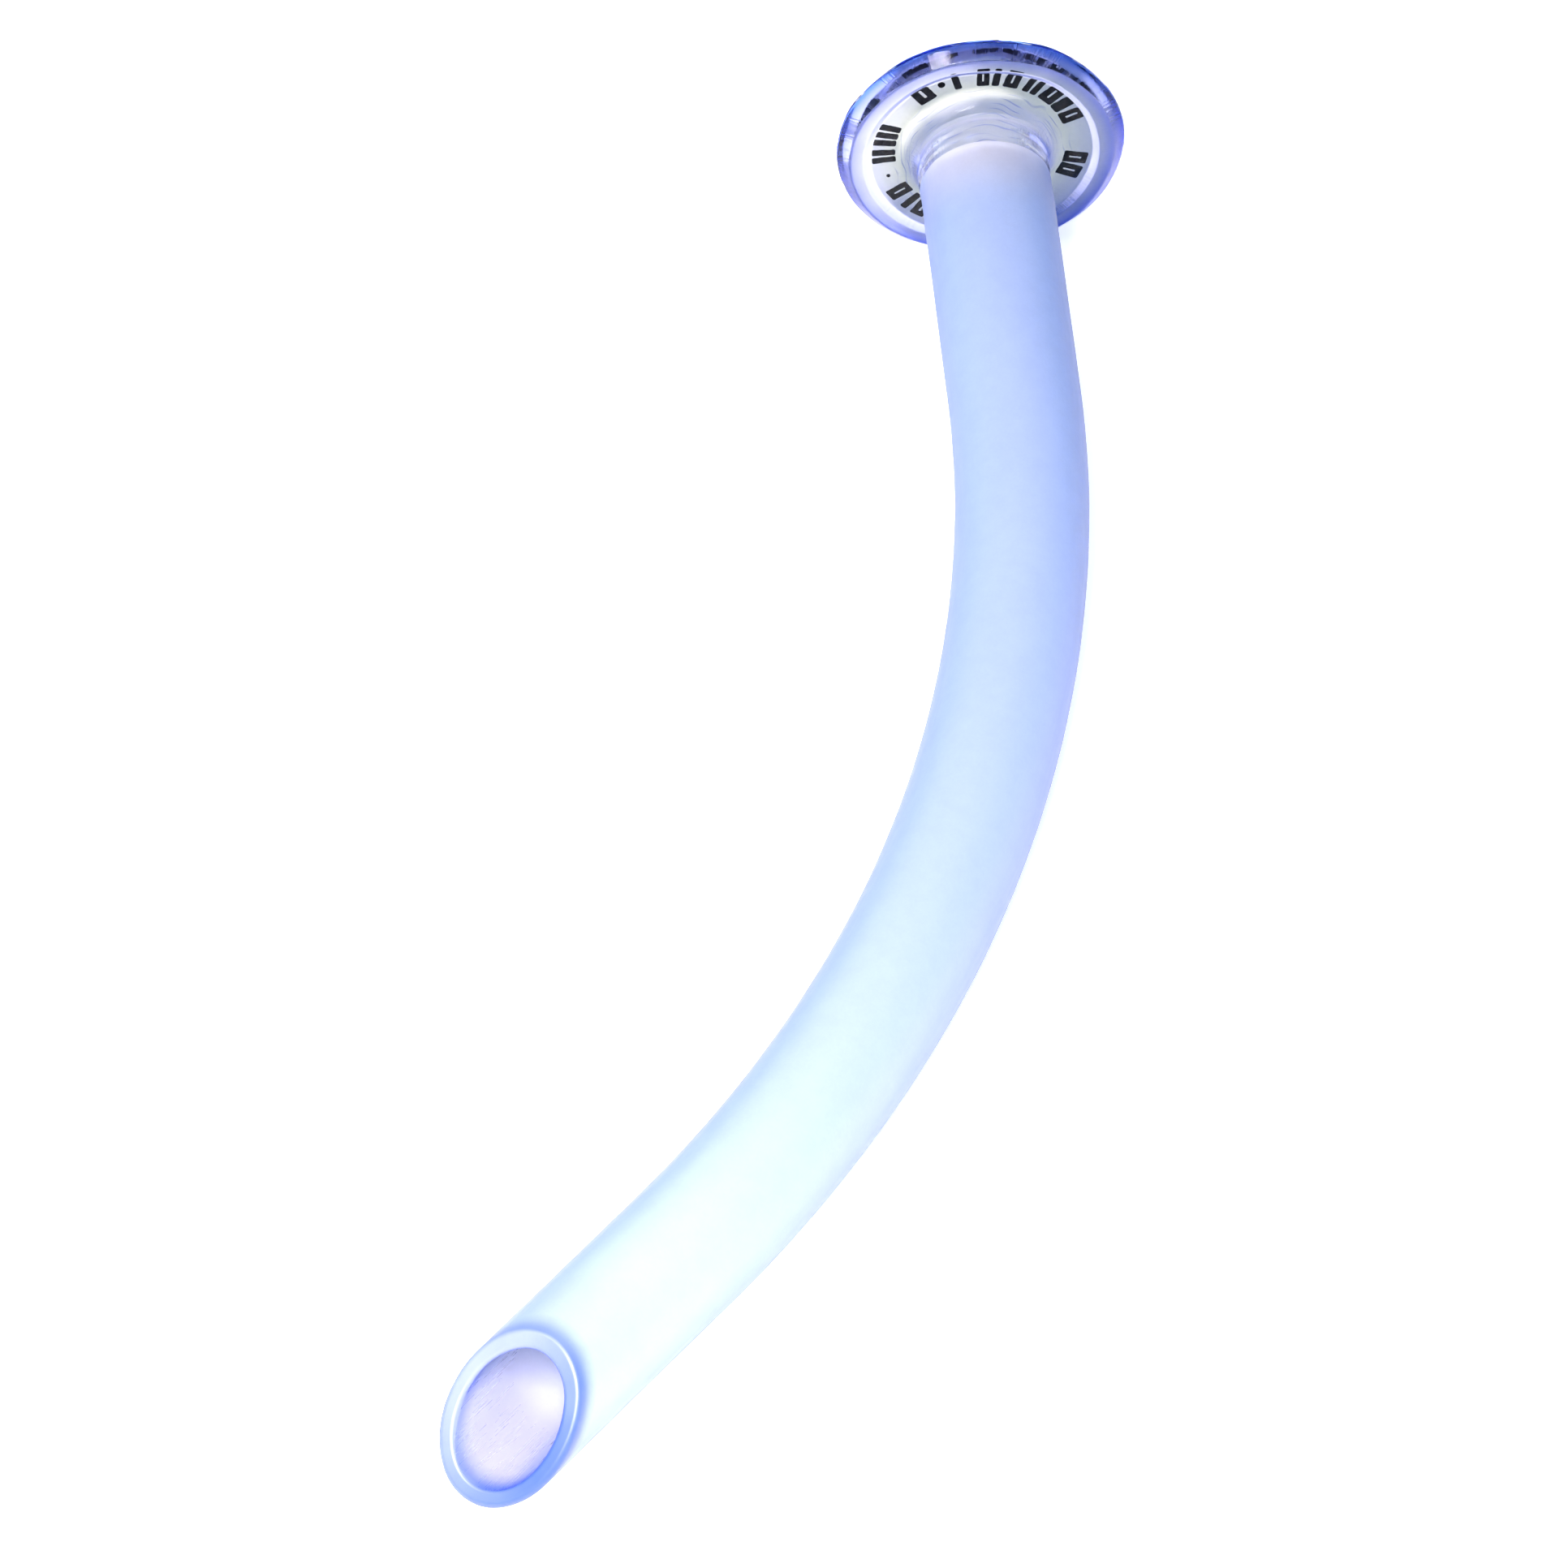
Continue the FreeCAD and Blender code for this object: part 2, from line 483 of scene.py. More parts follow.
class SweptWall(GeometryTree):
    """The tree that sweeps the rows of the wall's section round and along the bent centre line."""

    def __init__(self, inputs: dict[str, Any]) -> None:
        """Builds the tree.

        Args:
            inputs: A value for each named input.
        """
        super().__init__("swept_wall", inputs)
        around = self.given["Points Around"]
        lines = self.plus(self.given["Rows"], 1)
        sides = {"Vertices X": self.plus(around, 1), "Vertices Y": lines}
        grid = self.node("GeometryNodeMeshGrid", sides)
        # Half a step keeps the whole numbers below clear of rounding.
        index = self.out("GeometryNodeInputIndex")
        column = self.math("FLOOR", self.over(self.plus(index, 0.5), lines))
        line = self.minus(index, self.times(column, lines))
        self.row = self.math("MODULO", self.plus(line, 0.5), self.given["Rows"])
        self.angle = self.times(self.over(column, around), WHOLE_TURN)
        self.sine = self.math("SINE", self.angle)
        self.cosine = self.math("COSINE", self.angle)
        self.radius = self.of_row("radius")
        self.rounding = self.of_row("rounding")
        self.run = self.leaning_run()

        self.mesh = grid.outputs["Mesh"]
        self.add_attributes()
        self.step("GeometryNodeSetPosition", Position=self.wall_point())
        share = self.out("ShaderNodeSeparateXYZ", {0: grid.outputs["UV Map"]})
        lengthwise = self.over(self.along(), self.given["Way Round"])
        unrolled = self.combined(share, lengthwise, 0.0)
        self.mesh = self.store(self.mesh, "UVMap", unrolled, "FLOAT2", "CORNER")
        self.step("GeometryNodeMergeByDistance", Distance=MERGE_DISTANCE)
        self.step("GeometryNodeSetPosition", Offset=self.unevenness())
        self.step("GeometryNodeSetShadeSmooth")
        self.step("GeometryNodeRealizeInstances")
        self.step("GeometryNodeSetMaterial", Material=self.given["Tube Finish"])
        for finish, end in (("Neck Finish", "Frost Start"), ("Flange Finish", "Neck Start")):
            bounds = {0: self.along(), 1: self.given[end]}
            before = self.out("FunctionNodeCompare", bounds, operation="LESS_THAN")
            self.step("GeometryNodeSetMaterial", Selection=before, Material=self.given[finish])
        self.finish(self.mesh)

    def step(self, kind: str, **inputs: Any) -> None:
        """Passes the mesh through one more node.

        Args:
            kind: The node's type name.
            **inputs: What feeds its other inputs.
        """
        self.mesh = self.out(kind, {0: self.mesh, **inputs})

    def of_row(self, name: str) -> Socket:
        """Adds the value of an attribute on this point's row."""
        inputs = {"Geometry": self.given["Geometry"], "Value": self.attribute(name), "Index": self.row}
        return self.out("GeometryNodeSampleIndex", inputs, data_type="FLOAT", clamp=True)

    def along(self) -> Socket:
        """Adds the distance along the centre line that a finished point carries."""
        rolled_out = self.attribute(Attribute.ROLLED_OUT.value, "FLOAT_VECTOR")
        return self.node("ShaderNodeSeparateXYZ", {0: rolled_out}).outputs[2]

    def leaning_run(self) -> Socket:
        """Adds the distance along the centre line, where rows near the tip lean into the cut.

        Returns:
            The distance.
        """
        slope = self.given["Cut Angle"]
        rise = self.times(self.times(self.radius, self.sine), self.math("SINE", slope))
        lean = self.over(self.plus(rise, self.rounding), self.math("COSINE", slope))
        return self.minus(self.of_row("run"), self.times(self.of_row("slant"), lean))

    def centre_line(self) -> tuple[Socket, Socket, Socket]:
        """Adds the bent centre line.

        Returns:
            Its point at this run, its direction there, and the direction away from the bend's centre.
        """
        neck = self.given["Neck Length"]
        radius = self.given["Bend Radius"]
        past = self.minus(self.run, neck)
        bend_length = self.times(radius, self.given["Bend Angle"])
        on_bend = self.math("MINIMUM", self.math("MAXIMUM", past, 0.0), bend_length)
        turned = self.over(on_bend, radius)
        sine = self.math("SINE", turned)
        cosine = self.math("COSINE", turned)
        ahead = self.combined(cosine, self.times(sine, -1.0), 0.0)
        outwards = self.combined(sine, cosine, 0.0)
        swing = self.combined(sine, self.minus(cosine, 1.0), 0.0)
        straight = self.scaled(ahead, self.minus(past, on_bend))
        bent = self.vector("ADD", self.scaled(swing, radius), straight)
        return self.vector("ADD", self.combined(neck, 0.0, 0.0), bent), ahead, outwards

    def wall_point(self) -> Socket:
        """Adds the point of the wall: the rounding's centre plus the rounding in its own direction.

        Returns:
            The point, in design millimetres.
        """
        centre, ahead, outwards = self.centre_line()
        slope = self.given["Cut Angle"]
        spoke = self.vector("ADD", self.scaled(outwards, self.cosine), self.combined(0.0, 0.0, self.sine))
        upwards = self.combined(0.0, 0.0, self.math("SINE", slope))
        cut_normal = self.vector("ADD", self.scaled(ahead, self.math("COSINE", slope)), upwards)
        turn = self.of_row("turn")
        facing = self.scaled(spoke, self.of_row("side"))
        across = self.scaled(facing, self.minus(1.0, turn))
        direction = self.vector("NORMALIZE", self.vector("ADD", across, self.scaled(cut_normal, turn)))
        heart = self.vector("ADD", centre, self.scaled(spoke, self.radius))
        return self.vector("ADD", heart, self.scaled(direction, self.rounding))

    def add_attributes(self) -> None:
        """Stores what the finishes read."""
        distance = self.plus(self.radius, self.times(self.rounding, self.of_row("side")))
        across = self.times(distance, self.cosine)
        rolled_out = self.combined(across, self.times(distance, self.sine), self.run)
        self.mesh = self.store(self.mesh, Attribute.ROLLED_OUT.value, rolled_out, "FLOAT_VECTOR")
        # Painted shade: round the cut the edge tint is kept full on one side and thinned towards the other,
        # so the rim is darker on one side.
        swing = self.math("COSINE", self.minus(self.angle, self.given["Edge Sway Angle"]))
        loss = self.times(self.given["Edge Sway"], self.minus(swing, 1.0))
        kept = self.plus(1.0, self.times(loss, self.of_row("sway")))
        for kind, value in (
            (Attribute.FROST, self.of_row("frost")),
            (Attribute.INSIDE, self.of_row("inside")),
            (Attribute.EDGE, self.times(self.of_row("edge"), kept)),
        ):
            self.mesh = self.store(self.mesh, kind.value, value, "FLOAT")

    def unevenness(self) -> Socket:
        """Adds a push in and out by a slow noise, larger where flaring melted the wall.

        Returns:
            The offset along the normal.
        """
        here = self.out("GeometryNodeInputPosition")
        noise = self.noise(here, self.given["Unevenness Scale"], 1.0, self.given["Seed"])
        frost = self.attribute(Attribute.FROST.value)
        height = self.mixed(frost, self.given["Melted Unevenness"], self.given["Unevenness"])
        push = self.times(self.minus(noise, 0.5), height)
        return self.scaled(self.out("GeometryNodeInputNormal"), push)


@dataclass
class Moulding:
    """The tube with its flange and its slanted tip, in one piece. Sizes are in millimetres."""

    tube_diameter: float = 9.33
    bore_diameter: float = 7.0
    neck_length: float = 23.6
    bend_radius: float = 118.4
    bend_angle: float = math.radians(41.4)
    tip_length: float = 18.85
    cut_angle: float = math.radians(42.5)
    tip_outer_rounding: float = 0.4
    tip_inner_rounding: float = 0.3
    flange_diameter: float = 20.54
    web_thickness: float = 1.2
    rim_crown_diameter: float = 18.8
    rim_inner_diameter: float = 15.8
    rim_rise: float = 0.35
    rim_rise_width: float = 0.55
    rim_side_depth: float = 1.0
    rim_step_rounding: float = 0.3
    rim_crown_rounding: float = 0.35
    rim_back_rounding: float = 0.4
    rim_side_rounding: float = 0.3
    neck_fillet: float = 1.2
    mouth_rounding: float = 2.4
    neck_start: float = 0.4
    frost_start: float = 3.15
    # Over this ramp the tube's tint also turns from whitish to blue: a painted glow just after the neck.
    frost_ramp: tuple[float, float] = (2.9, 9.5)
    # Over this span the bore also turns from its dark tint near the cut, painted shade where the tip lamp
    # lights the bore, to its light tint deeper in.
    polished_bore: tuple[float, float] = (5.0, 14.0)
    polished_frost: float = 0.15
    ring_zone: tuple[float, float] = (0.95, 3.65)
    ring_pitch: float = 0.9
    ring_height: float = 0.035
    ring_rows: int = 18
    melted_frost: float = 0.5
    edge_reach: float = 1.7
    rim_edge_curve: float = 1.5
    fillet_edge: float = 0.25
    neck_edge: float = 0.14
    neck_edge_share: float = 0.4
    # Painted shade round the cut: how far the edge tint thins away from one side, and the angle of that
    # side.
    edge_sway: float = 0.22
    edge_sway_angle: float = math.radians(-20.0)
    close_rows: tuple[float, ...] = (1.0, 0.6, 0.3, 0.0)
    row_step: float = 1.4
    points_around: int = 144
    arc_step: float = 7.0
    tip_turns: int = 10
    cut_shares: tuple[float, ...] = (0.12, 0.5, 0.88)
    unevenness_scale: float = 0.22
    unevenness: float = 0.05
    melted_unevenness: float = 0.4
    seed: float = 4.7

    @property
    def tube_radius(self) -> float:
        """Radius of the tube's outside."""
        return self.tube_diameter / 2

    @property
    def bore_radius(self) -> float:
        """Radius of the bore."""
        return self.bore_diameter / 2

    @property
    def back_run(self) -> float:
        """Where the flange's flat back face lies along the centre line."""
        return -self.rim_rise - self.web_thickness

    @property
    def cut_run(self) -> float:
        """Length of the centre line from the rim's crown to the middle of the cut."""
        return self.neck_length + self.bend_radius * self.bend_angle + self.tip_length

    def frost_at(self, run: float, inside: bool) -> float:
        """How far the surface is frosted at a distance along the tube.

        Args:
            run: Distance from the rim's crown.
            inside: Whether it is the bore's surface, which is smoother near the tip.

        Returns:
            0 where it is clear and 1 where it is fully frosted.
        """
        frost = smooth_step(run, *self.frost_ramp)
        if inside:
            deep = smooth_step(self.cut_run - run, *self.polished_bore)
            frost *= self.polished_frost + (1 - self.polished_frost) * deep
        return frost

    def ring_at(self, run: float) -> float:
        """Height of the faint rings that flaring leaves round the neck.

        Args:
            run: Distance from the rim's crown.

        Returns:
            What the rings add to the tube's radius.
        """
        start, end = self.ring_zone
        if not start < run < end:
            return 0.0
        return self.ring_height * math.sin(math.pi * (run - start) / self.ring_pitch) ** 2

    def rim_edge_at(self, run: float, radius: float) -> float:
        """How much a point of the flange looks through the thick rim, the fillet or the neck.

        Args:
            run: Distance from the rim's crown.
            radius: Distance from the centre line.

        Returns:
            0 on the thin web and 1 at the outside of the rim.
        """
        rim = smooth_step(radius, self.rim_inner_diameter / 2, self.flange_diameter / 2)
        rim **= self.rim_edge_curve
        if run <= self.back_run:
            return rim
        reach = self.neck_edge_share * self.neck_fillet
        flare = smooth_step(radius, self.tube_radius, self.tube_radius + reach)
        fillet = 1 - smooth_step(radius, self.tube_radius, self.tube_radius + self.neck_fillet)
        return max(rim, fillet * (self.neck_edge + (self.fillet_edge - self.neck_edge) * flare))

    def cut_edge_at(self, run: float) -> float:
        """How much a row of the wall looks through the edge of the cut, from 0 to 1."""
        return 1 - smooth_step(self.cut_run - run, 0.0, self.edge_reach)

    def flange_rows(self) -> list[Row]:
        """Rows from the bellmouth over the back, the rim and the web to the neck.

        Returns:
            The rows in the order in which the section runs on from the bore.
        """
        front = -self.rim_rise
        inner = self.rim_inner_diameter / 2
        corners = [
            (self.frost_start, self.bore_radius, 0.0),
            (self.back_run, self.bore_radius, self.mouth_rounding),
            (self.back_run, self.flange_diameter / 2, self.rim_back_rounding),
            (-self.rim_side_depth, self.flange_diameter / 2, self.rim_side_rounding),
            (0.0, self.rim_crown_diameter / 2, self.rim_crown_rounding),
            (0.0, inner + self.rim_rise_width, self.rim_step_rounding),
            (front, inner, self.rim_step_rounding),
            (front, self.tube_radius, self.neck_fillet),
            (self.ring_zone[0], self.tube_radius, 0.0),
        ]
        rows = []
        for run, radius in rounded_chain(corners, self.arc_step):
            inside = radius < self.tube_radius and run > self.back_run
            frost = self.frost_at(run, inside)
            edge = 0.0 if inside else self.rim_edge_at(run, radius)
            rows.append(Row(run, radius, frost=frost, inside=float(inside), edge=edge))
        return rows

    def wall_rows(self, radius: float, rounding: float, side: float) -> list[Row]:
        """Rows of the wall from the neck to the edge of the cut.

        Args:
            radius: Radius of the wall.
            rounding: Radius of the rounding at its edge.
            side: 1 for the outside and -1 for the bore.

        Returns:
            The rows, which lean over towards the cut along the straight tip.
        """
        inside = side < 0
        start = self.frost_start + self.row_step
        runs = []
        if not inside:
            zone = self.ring_zone
            span = zone[1] - zone[0]
            runs = [zone[0] + span * step / self.ring_rows for step in range(1, self.ring_rows + 1)]
            start = zone[1] + self.row_step
        stretch = self.cut_run - self.edge_reach - start
        steps = math.ceil(stretch / self.row_step)
        runs += [start + stretch * step / steps for step in range(steps + 1)]
        runs += [self.cut_run - back for back in self.close_rows]
        rows = []
        for run in runs:
            on_clear_neck = run < self.frost_start and not inside
            rows.append(Row(
                run=run,
                radius=radius - side * rounding + (0.0 if inside else self.ring_at(run)),
                rounding=rounding,
                side=side,
                slant=smooth_step(run, self.cut_run - self.tip_length, self.cut_run),
                frost=self.frost_at(run, inside),
                inside=float(inside),
                edge=self.neck_edge if on_clear_neck else self.cut_edge_at(run),
                sway=0.0 if on_clear_neck else 1.0,
            ))
        return rows

    def tip_rows(self) -> list[Row]:
        """Rows over the cut: the outer rounding, the flat of the cut and the inner rounding.

        Returns:
            The rows from the outer wall to the bore.
        """
        outer = (self.tube_radius - self.tip_outer_rounding, self.tip_outer_rounding)
        inner = (self.bore_radius + self.tip_inner_rounding, self.tip_inner_rounding)
        cut = self.cut_run
        melted = self.melted_frost
        turns = [step / self.tip_turns for step in range(1, self.tip_turns + 1)]
        rows = []
        for turn in turns:
            frost = 1.0 + (melted - 1.0) * turn
            rows.append(Row(cut, *outer, 1.0, turn, 1.0, frost, 0.0, 1.0, 1.0))
        for share in self.cut_shares:
            mixed = [low + (high - low) * share for low, high in zip(outer, inner)]
            rows.append(Row(cut, *mixed, 1.0, 1.0, 1.0, melted, 0.0, 1.0, 1.0))
        for turn in reversed(turns):
            rows.append(Row(cut, *inner, -1.0, turn, 1.0, melted, 1.0 - turn, 1.0, 1.0))
        return rows

    def rows(self) -> list[Row]:
        """Every row of the closed section, once."""
        outer = self.wall_rows(self.tube_radius, self.tip_outer_rounding, 1.0)
        bore = self.wall_rows(self.bore_radius, self.tip_inner_rounding, -1.0)
        return self.flange_rows() + outer + self.tip_rows() + bore[::-1]

    def build(self, axes: DesignAxes, finishes: Finishes) -> bpy.types.Object:
        """Makes the moulding, which stands for the model's solid.

        Args:
            axes: The design axes.
            finishes: The moulding's materials.

        Returns:
            The piece.
        """
        rows = self.rows()
        seeds = seed_points({name: [getattr(row, name) for row in rows] for name in Row._fields})
        sizes = input_values(
            self, "points_around", "neck_length", "bend_radius", "bend_angle", "cut_angle", "unevenness",
            "unevenness_scale", "melted_unevenness", "seed", "edge_sway", "edge_sway_angle",
            "neck_start", "frost_start",
        )
        tree = SweptWall({
            **sizes,
            "Rows": len(rows),
            "Way Round": WHOLE_TURN * self.tube_radius,
            "Tube Finish": finishes.tube,
            "Neck Finish": finishes.neck,
            "Flange Finish": finishes.flange,
        })
        piece = placed(tree.grown(seeds, "moulding"), axes)
        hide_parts("airway")
        return piece


class MarkLayout(GeometryTree):
    """The tree that stamps the printed marks round the flange's flat face."""

    same_kind: float = 0.1
    corner_points: int = 4
    dot_points: int = 16

    def __init__(self, inputs: dict[str, Any]) -> None:
        """Builds the tree.

        Args:
            inputs: A value for each named input.
        """
        super().__init__("mark_layout", inputs)
        angle = self.attribute("angle")
        width = self.attribute("width")
        stroke = self.given["Stroke"]
        spoke = self.combined(0.0, self.math("COSINE", angle), self.math("SINE", angle))
        face = self.combined(self.given["Face Run"], 0.0, 0.0)
        place = self.vector("ADD", self.scaled(spoke, self.given["Ring Radius"]), face)
        seeds = {"Mesh": self.given["Geometry"], "Position": place}
        points = self.out("GeometryNodeMeshToPoints", seeds)
        turned = self.out("FunctionNodeAxesToRotation", {
            "Primary Axis": spoke,
            "Secondary Axis": (1.0, 0.0, 0.0),
        }, primary_axis="Y", secondary_axis="Z")
        sheets = self.node("GeometryNodeJoinGeometry")
        for kind, stamp, scale in (
            (MarkShape.BAR, self.bar(), self.combined(self.over(width, stroke), 1.0, 1.0)),
            (MarkShape.FRAME, self.hollow(), self.combined(width, 1.0, 1.0)),
            (MarkShape.DOT, self.dot(), self.combined(width, width, 1.0)),
        ):
            shapes = {0: self.attribute("shape"), 1: float(kind.value)}
            chosen = self.node("FunctionNodeCompare", shapes, operation="EQUAL")
            self.feed(chosen.inputs["Epsilon"], self.same_kind)
            laid = self.node("GeometryNodeInstanceOnPoints", {
                "Points": points,
                "Selection": chosen.outputs[0],
                "Instance": stamp,
                "Rotation": turned,
                "Scale": scale,
            })
            self.feed(sheets.inputs[0], laid.outputs[0])
        real = self.out("GeometryNodeRealizeInstances", {0: sheets.outputs[0]})
        inked = {0: real, "Material": self.given["Ink"]}
        self.finish(self.out("GeometryNodeSetMaterial", inked))

    def oblong(self, wide: Any, tall: Any, corner: str) -> Socket:
        """Adds a rectangle with rounded corners.

        Args:
            wide: Its width.
            tall: Its height.
            corner: Name of the input that holds its corners' radius.

        Returns:
            The outline.
        """
        sharp = self.out("GeometryNodeCurvePrimitiveQuadrilateral", {0: wide, 1: tall})
        inputs = {"Curve": sharp, "Radius": self.given[corner], "Count": self.corner_points}
        return self.out("GeometryNodeFilletCurve", inputs, mode="POLY")

    def plate(self, outline: Socket) -> Socket:
        """Fills an outline and gives it the film's thickness on both sides of the face.

        Args:
            outline: The outline, with its holes.

        Returns:
            A closed plate.
        """
        film = self.given["Film"]
        flat = self.out("GeometryNodeFillCurve", {0: outline})
        walls = self.out("GeometryNodeExtrudeMesh", {
            "Mesh": flat,
            "Offset": (0.0, 0.0, 1.0),
            "Offset Scale": self.times(film, 2.0),
            "Individual": False,
        })
        back = self.out("GeometryNodeFlipFaces", {0: flat})
        shell = self.joined(walls, back)
        merged = self.out("GeometryNodeMergeByDistance", {0: shell, "Distance": MERGE_DISTANCE})
        shift = self.combined(0.0, 0.0, self.times(film, -1.0))
        return self.out("GeometryNodeTransform", {0: merged, "Translation": shift})

    def bar(self) -> Socket:
        """Adds an upright bar, one stroke wide."""
        return self.plate(self.oblong(self.given["Stroke"], self.given["Mark Height"], "Corner"))

    def hollow(self) -> Socket:
        """Adds a hollow oblong of unit width.

        Returns:
            The plate.
        """
        tall = self.given["Mark Height"]
        doubled = self.times(self.given["Stroke"], 2.0)
        outer = self.oblong(1.0, tall, "Corner")
        hole_width = self.minus(1.0, doubled)
        hole = self.oblong(hole_width, self.minus(tall, doubled), "Inner Corner")
        return self.plate(self.joined(outer, hole))

    def dot(self) -> Socket:
        """Adds a round dot of unit width."""
        inputs = {"Resolution": self.dot_points, "Radius": 0.5}
        return self.plate(self.out("GeometryNodeCurvePrimitiveCircle", inputs))


@dataclass
class PrintedRing:
    """Plain marks printed in an arc on the flange's flat face. Sizes are in millimetres.

    Each mark has its place round the flange, in degrees, and its width.
    """

    ring_radius: float = 6.95
    mark_height: float = 1.75
    stroke: float = 0.42
    film: float = 0.02
    corner: float = 0.12
    inner_corner: float = 0.05
    bars: Places = (
        (37.0, 0.9), (58.0, 0.5), (64.0, 0.5), (85.0, 0.5), (109.0, 0.5), (164.0, 0.55), (170.0, 0.55),
        (176.0, 0.55), (184.0, 0.55), (190.0, 0.55), (229.0, 0.55),
    )
    frames: Places = (
        (-20.0, 1.2), (-9.0, 1.1), (26.0, 1.1), (47.5, 1.25), (75.0, 1.1), (93.0, 0.9), (131.0, 1.4),
        (218.0, 1.1), (238.0, 1.1),
    )
    dots: Places = ((118.0, 0.55), (203.0, 0.3))

    def build(self, axes: DesignAxes, face_run: float, ink: bpy.types.Material) -> bpy.types.Object:
        """Makes the printed marks.

        Args:
            axes: The design axes.
            face_run: Where the flat face lies along the neck's axis.
            ink: The marks' material.

        Returns:
            The piece.
        """
        kinds = {MarkShape.BAR: self.bars, MarkShape.FRAME: self.frames, MarkShape.DOT: self.dots}
        seeds = seed_points({
            "angle": [math.radians(angle) for places in kinds.values() for angle, _ in places],
            "width": [width for places in kinds.values() for _, width in places],
            "shape": [float(shape.value) for shape, places in kinds.items() for _ in places],
        })
        sizes = input_values(self, "ring_radius", "mark_height", "stroke", "corner", "inner_corner", "film")
        tree = MarkLayout({**sizes, "Face Run": face_run, "Ink": ink})
        return placed(tree.grown(seeds, "print_marks"), axes)


class Speckle:
    """Shader group for fine grain, shared by the finishes."""

    fine_octaves: float = 3.0
    coarse_octaves: float = 2.0
    fine_seed: float = 1.3
    coarse_seed: float = 5.1
    _tree: bpy.types.NodeTree | None = None

    @classmethod
    def tree(cls) -> bpy.types.NodeTree:
        """Builds the group once.

        Returns:
            The group, with a height and a tone that vary over the surface.
        """
        if cls._tree is None:
            tree = bpy.data.node_groups.new("speckle", "ShaderNodeTree")
            graph = Graph(tree)
            tree.interface.new_socket("Vector", in_out="INPUT", socket_type="NodeSocketVector")
            for label in ("Fine Scale", "Coarse Scale"):
                tree.interface.new_socket(label, in_out="INPUT", socket_type="NodeSocketFloat")
            for label in ("Height", "Tone"):
                tree.interface.new_socket(label, in_out="OUTPUT", socket_type="NodeSocketFloat")
            given = graph.node("NodeGroupInput").outputs
            place = given["Vector"]
            fine = graph.noise(place, given["Fine Scale"], cls.fine_octaves, cls.fine_seed)
            coarse = graph.noise(place, given["Coarse Scale"], cls.coarse_octaves, cls.coarse_seed)
            graph.node("NodeGroupOutput", {0: fine, 1: graph.mixed(0.5, fine, coarse)})
            cls._tree = tree
        return cls._tree

    @classmethod
    def added(cls, graph: Graph, place: Socket, scales: tuple[float, float]) -> tuple[Socket, Socket]:
        """Adds the group to a material.

        Args:
            graph: The material's graph.
            place: Where the grain is read.
            scales: Its fine and coarse scales.

        Returns:
            The height and the tone.
        """
        node = graph.node("ShaderNodeGroup", node_tree=cls.tree())
        for name, value in zip(("Vector", "Fine Scale", "Coarse Scale"), (place, *scales)):
            graph.feed(node.inputs[name], value)
        return node.outputs["Height"], node.outputs["Tone"]


@dataclass(frozen=True)
class FlowLines:
    """Thin dark lines round the clear web and neck, as flaring leaves them. Lengths are in millimetres.

    They follow the distance along the section, which is the run less the radius.
    """

    strength: float = 0.75
    tint: Colour = (0.12, 0.18, 0.62, 1.0)
    frequency: float = 11.0
    crest: tuple[float, float] = (0.72, 1.0)
    wander: float = 2.4
    wander_scale: float = 0.35
    wander_seed: float = 3.3
    gap_band: tuple[float, float] = (0.4, 0.62)
    gap_scale: float = 0.5
    gap_seed: float = 8.1
    fade_in: tuple[float, float] = (-7.2, -6.0)

    def drawn(self, graph: Graph, rolled: Socket, inside: Socket, surface: Socket) -> Socket:
        """Adds the lines to a colour.

        Args:
            graph: The material's graph.
            rolled: The rolled-out position.
            inside: How far the surface is the bore's.
            surface: The colour.

        Returns:
            The colour with the lines on it.
        """
        run = graph.node("ShaderNodeSeparateXYZ", {0: rolled}).outputs[2]
        flat = graph.vector("MULTIPLY", rolled, ACROSS)
        radius = graph.node("ShaderNodeVectorMath", {0: flat}, operation="LENGTH").outputs["Value"]
        reach = graph.minus(run, radius)
        wander = graph.noise(rolled, self.wander_scale, 1.0, self.wander_seed)
        shifted = graph.plus(reach, graph.times(wander, self.wander))
        wave = graph.math("SINE", graph.times(shifted, self.frequency))
        gaps = graph.noise(rolled, self.gap_scale, 1.0, self.gap_seed)
        crest = graph.ranged(wave, *self.crest, 0.0, 1.0)
        line = graph.times(crest, graph.ranged(gaps, *self.gap_band, 0.0, self.strength))
        outside = graph.ranged(inside, 0.0, 1.0, 1.0, 0.0)
        shown = graph.times(graph.ranged(reach, *self.fade_in, 0.0, 1.0), outside)
        return graph.mixed_colour(graph.times(line, shown), surface, self.tint)


